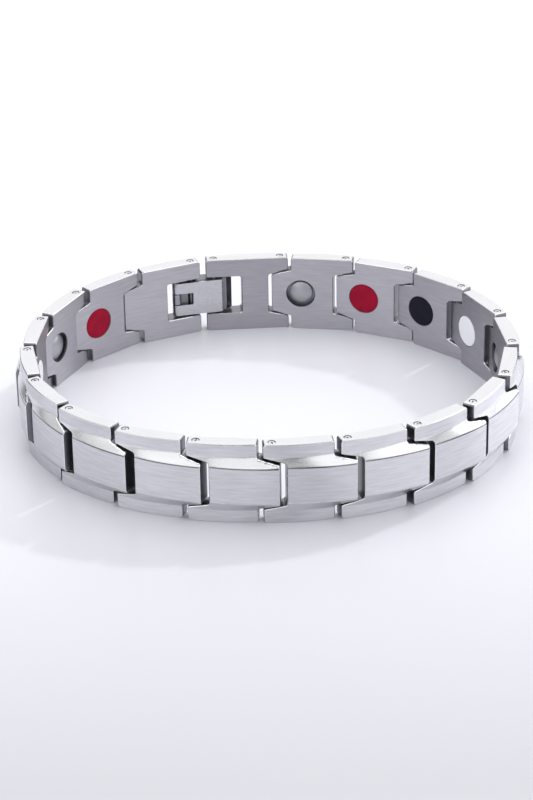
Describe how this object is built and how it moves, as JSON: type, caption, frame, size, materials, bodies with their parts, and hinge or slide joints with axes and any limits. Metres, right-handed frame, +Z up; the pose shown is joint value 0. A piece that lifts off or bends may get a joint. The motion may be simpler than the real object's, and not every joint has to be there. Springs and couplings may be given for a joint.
{
  "type": "stainless steel bracelet",
  "caption": "Closed oval bracelet of hinged steel plate links with a raised brushed band, polished bevels, round insets on the wrist side and a fold-over clasp.",
  "frame": {"origin": "middle of the oval on the surface that the bracelet lies on", "axes": "+Z up along the link pins, across the bracelet's width; +X along the oval's long axis; +Y across the oval towards the clasp"},
  "size_m": [0.0787, 0.0704, 0.0127],
  "materials": {
    "steel": "brushed along the chain on the band, the rails and the wrist side, polished on the bevels, cut edges and rail tops",
    "pin_steel": "bright drawn steel",
    "clasp_steel": "satin, lightly brushed",
    "magnet": "polished dome in a dark groove",
    "red_inset": "glossy deep red, slightly translucent",
    "black_inset": "smooth blue-black, glossy",
    "white_inset": "milky white, glossy"
  },
  "bodies": {
    "bracelet": {"pivot_end_link": "steel", "link_01": "steel", "link_02": "steel", "link_03": "steel", "link_04": "steel", "link_05": "steel", "link_06": "steel", "link_07": "steel", "link_08": "steel", "link_09": "steel", "link_10": "steel", "link_11": "steel", "link_12": "steel", "link_13": "steel", "link_14": "steel", "link_15": "steel", "link_16": "steel", "link_17": "steel", "link_18": "steel", "hook_end_link": "steel", "magnet_01": "magnet", "red_inset_02": "red_inset", "black_inset_03": "black_inset", "white_inset_04": "white_inset", "magnet_05": "magnet", "red_inset_06": "red_inset", "black_inset_07": "black_inset", "white_inset_08": "white_inset", "magnet_09": "magnet", "red_inset_10": "red_inset", "black_inset_11": "black_inset", "white_inset_12": "white_inset", "magnet_13": "magnet", "red_inset_14": "red_inset", "black_inset_15": "black_inset", "white_inset_16": "white_inset", "magnet_17": "magnet", "red_inset_18": "red_inset", "link_pin_00": "pin_steel", "link_pin_01": "pin_steel", "link_pin_02": "pin_steel", "link_pin_03": "pin_steel", "link_pin_04": "pin_steel", "link_pin_05": "pin_steel", "link_pin_06": "pin_steel", "link_pin_07": "pin_steel", "link_pin_08": "pin_steel", "link_pin_09": "pin_steel", "link_pin_10": "pin_steel", "link_pin_11": "pin_steel", "link_pin_12": "pin_steel", "link_pin_13": "pin_steel", "link_pin_14": "pin_steel", "link_pin_15": "pin_steel", "link_pin_16": "pin_steel", "link_pin_17": "pin_steel", "link_pin_18": "pin_steel", "clasp_base": "clasp_steel", "clasp_pins": "pin_steel"},
    "clasp_cover": {"clasp_cover": "clasp_steel"}
  },
  "joints": [
    {"name": "cover_hinge", "type": "hinge", "parent": "bracelet", "child": "clasp_cover", "pos_m": [-0.01516, 0.03057, 0.00635], "axis": [0, 0, -1], "range_deg": [0, 117]}
  ]
}
